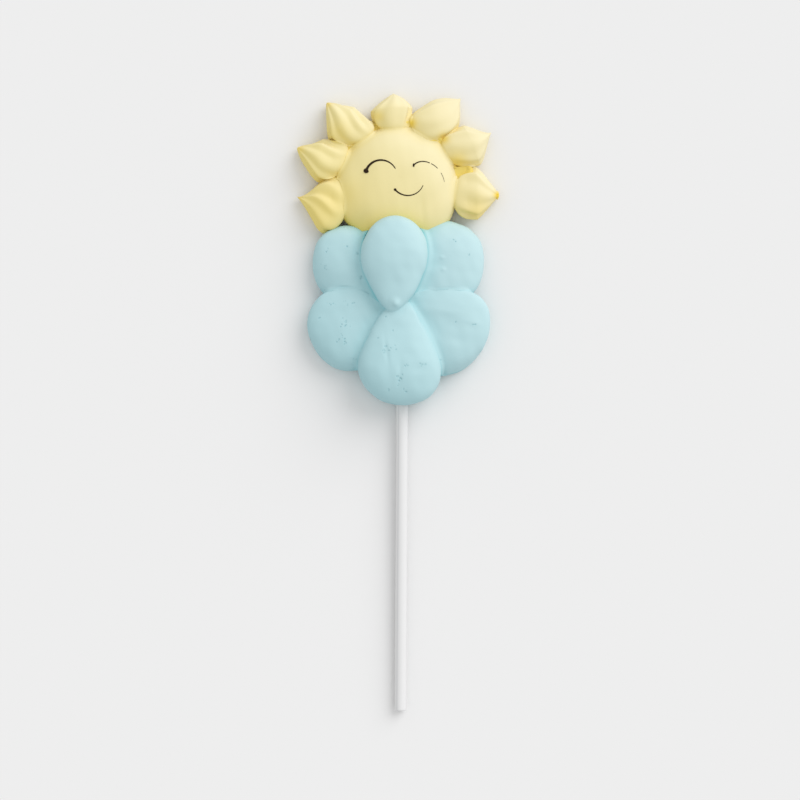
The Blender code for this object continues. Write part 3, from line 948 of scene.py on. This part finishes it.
def blend(tree, first, second, share):
    """A node's output that goes from a first to a second colour with a share from 0 to 1."""
    mix = tree.nodes.new("ShaderNodeMix")
    mix.data_type = "RGBA"
    for socket, value in (("A", first), ("B", second)):
        if isinstance(value, tuple):
            mix.inputs[socket].default_value = value
        else:
            tree.links.new(value, mix.inputs[socket])
    tree.links.new(share, mix.inputs["Factor"])
    return mix.outputs["Result"]


def add_relief(tree, shader, relief):
    """Fine bumps on a shader, from noise that may be drawn out along the stick."""
    where = tree.nodes.new("ShaderNodeTexCoord")
    stretch = tree.nodes.new("ShaderNodeMapping")
    stretch.inputs["Scale"].default_value = (1.0, relief.lengthwise, 1.0)
    noise = tree.nodes.new("ShaderNodeTexNoise")
    noise.inputs["Scale"].default_value = relief.scale
    noise.inputs["Detail"].default_value = relief.detail
    bump = tree.nodes.new("ShaderNodeBump")
    bump.inputs["Strength"].default_value = relief.strength
    bump.inputs["Distance"].default_value = relief.depth * MM
    tree.links.new(where.outputs["Object"], stretch.inputs["Vector"])
    tree.links.new(stretch.outputs["Vector"], noise.inputs["Vector"])
    tree.links.new(noise.outputs["Fac"], bump.inputs["Height"])
    tree.links.new(bump.outputs["Normal"], shader.inputs["Normal"])


def marshmallow(family):
    """Matt set marshmallow: a soft skin with painted light, paler towards the key light, and painted
    shade, deeper coloured in its hollows, valleys and pores.
    """
    material, tree, shader = new_material(family.slot, roughness=0.75)
    painted_light_colour, plain, painted_shade_colour, pore_shade = (colour(screen) for screen in family.colours)
    # Painted light: paler where the skin faces and lies towards the key light.
    lit = blend(tree, painted_light_colour, plain, attribute_value(tree, "painted_side_shade"))
    # Painted shade in hollows and filled valleys, with the rays' deeper tone.
    shaded = blend(tree, lit, painted_shade_colour, attribute_value(tree, "painted_shade_and_tone"))
    # Painted shade in the pores.
    skin = blend(tree, shaded, pore_shade, attribute_value(tree, "pore_shade"))
    tree.links.new(skin, shader.inputs["Base Color"])
    add_relief(tree, shader, SKIN_GRAIN)
    return material


def icing():
    """Thin dark brown icing with a slight gloss."""
    material, _, shader = new_material(ICING_SLOT, roughness=0.55)
    shader.inputs["Base Color"].default_value = colour(ICING_COLOUR)
    shader.inputs["Specular IOR Level"].default_value = 0.15
    return material


def paper():
    """Smooth white rolled paper with long fibres and a faint glued edge."""
    material, tree, shader = new_material(PAPER_SLOT, roughness=0.8)
    seam = attribute_value(tree, "seam")
    tree.links.new(blend(tree, colour(PAPER_COLOUR), colour(SEAM_COLOUR), seam),
                   shader.inputs["Base Color"])
    add_relief(tree, shader, PAPER_FIBRES)
    return material


def food_piece(node, points, raised, upper, material, tops, seed):
    """One finished piece of marshmallow, with its marks for the material."""
    normal = outward(points)
    depth, inside = pores(points, node, seed)
    # Marks for painted light and shade: by side, in hollows and valleys, and in the pores.
    marks = {
        "painted_shade_and_tone": deepened(points, node, raised, tops),
        "painted_side_shade": painted_side_shade(points, normal, node),
        "pore_shade": inside * upper,
    }
    points = points - normal * (depth * upper)[..., None]
    family = family_of(node)
    title = f"{family}_{node.removeprefix('drop_')}"
    show(grid_piece(title, points, material, marks), node, FAMILIES[family].slot)


def bed_piece(name, level, material):
    """One family's bed: a round slab, a little lower than the blurred tops, or its least height.

    It has its family's unevenness, and comes nearly up to the blurred tops in the valleys. A lobe
    reaches out by exp(-a ** 4), with a the turn from its middle over half its breadth. The edge
    falls off over the rounding as a quarter of a circle, and the underside is flat.
    """
    family = FAMILIES[name]
    down = np.linspace(0.0, math.pi, BED_GRID[0])[:, None]
    bearing = np.linspace(-math.pi, math.pi, BED_GRID[1], endpoint=False)[None, :]
    rim = np.full_like(bearing, family.bed_reach)
    for middle, breadth, reach in family.bed_lobes:
        aside = (np.degrees(bearing) - middle) / breadth
        bulge = (reach - family.bed_reach) * np.exp(-aside ** 4)
        rim = np.maximum(rim, family.bed_reach + bulge)
    away = rim * np.sin(down)
    x, y = round_about(family.middle, bearing, away)
    edge = np.clip(1.0 - (rim - away) / BED_ROUNDING, 0.0, 1.0)
    height, tops = level.read(x, y), np.zeros(x.shape)
    for _, top, here in family_tops(name, x, y):
        tops = np.maximum(tops, np.where(here, top, 0.0))
    sink = family.bed_sink * (1.0 - BED_RISE * np.clip((height - tops) / BED_VALLEY, 0.0, 1.0))
    height = height + unevenness(np.stack((x, y, height), axis=-1), family.wave_seed)
    height = np.maximum(height - sink, family.bed_least) * np.sqrt(1.0 - edge ** 2)
    height = np.where(np.cos(down) > 0.0, np.maximum(height, BED_SOLE), BED_SOLE)
    points = np.stack((x, y, height), axis=-1)
    whole = np.ones(x.shape)
    # The bed is painted with shade all over: deeper coloured, and with none of the paler painted
    # light.
    marks = {"painted_shade_and_tone": BED_DEPTH * whole, "painted_side_shade": whole, "pore_shade": 0.0 * whole}
    show(grid_piece(f"{name}_bed", points, material, marks), family.bed_node, family.slot)


def all_food():
    """Every piece of marshmallow, and the finished points of the sun's face."""
    materials = {name: marshmallow(family) for name, family in FAMILIES.items()}
    levels = {name: level_map(name) for name in FAMILIES}
    surfaces = {"sun_disc": sun_surface(SUN_GRID)}
    for number, ray in enumerate(RAYS, start=1):
        node = f"ray_{number}"
        surfaces[node] = piped_surface(FORMS[node], RAY_GRID, ray_ridges(ray))
    for name in DROPS:
        surfaces[f"drop_{name}"] = piped_surface(FORMS[f"drop_{name}"], DROP_GRID)

    finished, filled = {}, {}
    for node, (points, upper) in surfaces.items():
        finished[node], filled[node] = set_skin(points, upper, node, levels[family_of(node)])
    tops = TableMap(blurred(skyline(finished.values()), HOLLOW_BLUR))
    for seed, (node, points) in enumerate(finished.items()):
        upper = surfaces[node][1]
        food_piece(node, points, filled[node], upper, materials[family_of(node)], tops, seed)
    for name in FAMILIES:
        bed_piece(name, levels[name], materials[name])
    return finished["sun_disc"]


def face_strokes(face):
    """The smile and the eyes, as low beads of icing along spirals on the sun's face.

    A bead's half width is half its width there, or on the blob a circle's: sqrt(blob^2 - s^2)
    at a way s from the blob's middle.
    """
    material = icing()
    tops = TableMap(blurred(skyline([face]), STROKE_BED))
    done = np.linspace(0.0, 1.0, STROKE_GRID[0])[:, None]
    turn = side_angles(STROKE_GRID[1])[None, :]
    for title, stroke in STROKES.items():
        swept = math.radians(stroke.end_bearing - stroke.start_bearing)
        bearing = math.radians(stroke.start_bearing) + swept * done
        away = stroke.start_radius + (stroke.end_radius - stroke.start_radius) * done
        way = done * abs(swept) * stroke.end_radius
        half = (stroke.start_width + (stroke.end_width - stroke.start_width) * done) / 2.0
        half = half * np.sqrt(np.clip(1.0 - (2.0 * done - 1.0) ** STROKE_BLUNT, 0.0, 1.0))
        if stroke.blob:
            ball = np.sqrt(np.clip(stroke.blob ** 2 - (way - stroke.blob) ** 2, 0.0, None))
            half = np.maximum(half * np.clip(way / stroke.blob, 0.0, 1.0), ball)
        x, y = round_about(stroke.centre, bearing, away + half * np.cos(turn))
        height = tops.read(x, y) + half * STROKE_FLATNESS * np.sin(turn)
        points = np.stack((x, y, height), axis=-1)
        show(grid_piece(f"face_{title}", points, material), "sun_disc", ICING_SLOT)


def stick():
    """The paper stick: a straight sweep of circles with both rims rounded."""
    lean, rise = math.radians(STICK_LEAN), math.radians(STICK_RISE)
    along = np.array((math.sin(lean) * math.cos(rise), math.cos(lean) * math.cos(rise),
                      math.sin(rise)))
    side = np.array((math.cos(lean), -math.sin(lean), 0.0))
    up = np.cross(side, along)
    radius = STICK_DIAMETER / 2.0
    corner = np.linspace(0.0, math.pi / 2.0, STICK_END_RINGS)
    inset = STICK_END_ROUND * (1.0 - np.cos(corner))
    edge = radius - STICK_END_ROUND * (1.0 - np.sin(corner))
    body = np.linspace(inset[-1], STICK_LENGTH - inset[-1], STICK_GRID[0])[1:-1]
    way = np.concatenate(((0.0,), inset, body, STICK_LENGTH - inset[::-1], (STICK_LENGTH,)))
    reach = np.concatenate(((0.0,), edge, np.full(len(body), radius), edge[::-1], (0.0,)))
    turn = np.linspace(0.0, 2.0 * math.pi, STICK_GRID[1], endpoint=False)
    from_seam = np.degrees(np.abs(turn - math.radians(SEAM_BEARING)))
    seam = np.broadcast_to(np.exp(-(from_seam / SEAM_WIDTH) ** 2), (len(way), len(turn)))
    reach = reach[:, None] * (1.0 - SEAM_DEPTH * seam)
    tip = np.array((*STICK_TIP, radius))
    around = np.cos(turn)[:, None] * side + np.sin(turn)[:, None] * up
    points = tip + way[:, None, None] * along + reach[..., None] * around
    show(grid_piece("paper_stick", points, paper(), {"seam": seam}), "stick", PAPER_SLOT)


def table_top():
    """The pale table that the lollipop lies on."""
    half = TABLE_HALF * MM
    mesh = bpy.data.meshes.new("table_top")
    mesh.from_pydata([(-half, -half, 0), (half, -half, 0), (half, half, 0), (-half, half, 0)],
                     [], [(0, 1, 2, 3)])
    material, _, shader = new_material("table_paint", roughness=0.9)
    shader.inputs["Base Color"].default_value = TABLE_PAINT
    shader.inputs["Specular IOR Level"].default_value = 0.0
    mesh.materials.append(material)
    placed("table_top", mesh)


def key_light():
    """A broad soft light from the upper right."""
    data = bpy.data.lights.new("key", "SUN")
    height, bearing = math.radians(KEY_HEIGHT), math.radians(KEY_BEARING)
    data.energy = TABLE_LIGHT * KEY_SHARE * math.pi / math.sin(height)
    data.angle = math.radians(KEY_SPREAD)
    toward = Vector((math.cos(height) * math.cos(bearing), math.cos(height) * math.sin(bearing),
                     math.sin(height)))
    placed("key", data).rotation_euler = toward.to_track_quat("Z", "Y").to_euler()


def room_light():
    """Even white light from all round."""
    world = bpy.data.worlds.new("room")
    bpy.context.scene.world = world
    world.use_nodes = True
    background = world.node_tree.nodes["Background"]
    background.inputs["Color"].default_value = (1.0, 1.0, 1.0, 1.0)
    background.inputs["Strength"].default_value = TABLE_LIGHT * (1.0 - KEY_SHARE)


def overhead_camera():
    """A camera that looks straight down, with the lens that gives the picture's scale."""
    data = bpy.data.cameras.new("overhead")
    data.sensor_width = SENSOR_WIDTH
    data.lens = SENSOR_WIDTH * (CAMERA_HEIGHT - SCALE_HEIGHT) * PX_PER_MM / PICTURE_WIDTH
    camera = placed("overhead", data)
    camera.location = (CAMERA_PLACE[0] * MM, CAMERA_PLACE[1] * MM, CAMERA_HEIGHT * MM)
    bpy.context.scene.camera = camera


face_strokes(all_food())
stick()
table_top()
key_light()
room_light()
overhead_camera()
bpy.context.scene.view_settings.view_transform = "Standard"
